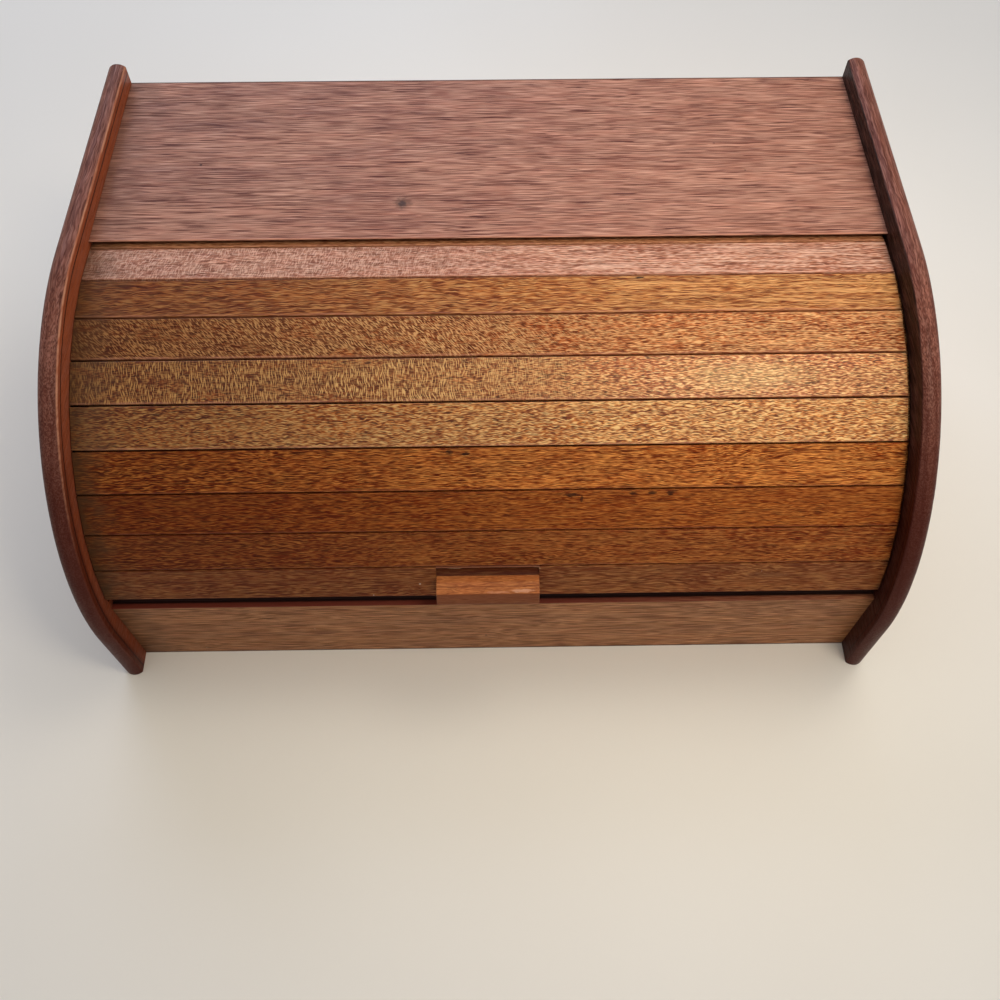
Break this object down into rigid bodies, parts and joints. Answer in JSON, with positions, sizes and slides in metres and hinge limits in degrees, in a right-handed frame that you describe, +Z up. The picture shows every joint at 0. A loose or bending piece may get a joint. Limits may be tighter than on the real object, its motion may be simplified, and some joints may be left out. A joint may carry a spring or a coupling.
{
  "type": "roll-top box",
  "caption": "Wooden roll-top box with two rounded end cheeks, a flat top, a low front rail and a curtain of slats on cloth that slides up round the inside on grooves.",
  "frame": {"origin": "middle of the box's footprint, on the surface it stands on", "axes": "+X along the box's width to the right end, +Y to the back, +Z up; the front with the pull faces -Y"},
  "size_m": [0.4208, 0.282, 0.19],
  "materials": {
    "cheek_wood": "satin",
    "top_wood": "satin",
    "rail_wood": "satin",
    "panel_wood": "matt",
    "back_wood": "matt",
    "dowel_wood": "matt",
    "pin_steel": "dull",
    "lead_wood": "satin",
    "slat_wood": "satin",
    "cloth": "matt",
    "pull_wood": "satin",
    "screw_brass": "dull"
  },
  "bodies": {
    "case": {"left_cheek": "cheek_wood", "right_cheek": "cheek_wood", "top_board": "top_wood", "front_rail": "rail_wood", "bottom_panel": "panel_wood", "back_panel": "back_wood", "corner_dowels": "dowel_wood", "panel_pins": "pin_steel"},
    "curtain": {"slat_01": "lead_wood", "slat_02": "slat_wood", "slat_03": "slat_wood", "slat_04": "slat_wood", "slat_05": "slat_wood", "slat_06": "slat_wood", "slat_07": "slat_wood", "slat_08": "slat_wood", "slat_09": "slat_wood", "slat_10": "slat_wood", "slat_11": "slat_wood", "cloth_backing": "cloth", "pull": "pull_wood", "pull_screws": "screw_brass"}
  },
  "joints": [
    {"name": "curtain_turn", "type": "hinge", "parent": "case", "child": "curtain", "pos_m": [0, 0.003, 0.0425], "axis": [-1, 0, 0], "range_deg": [0, 77]}
  ]
}
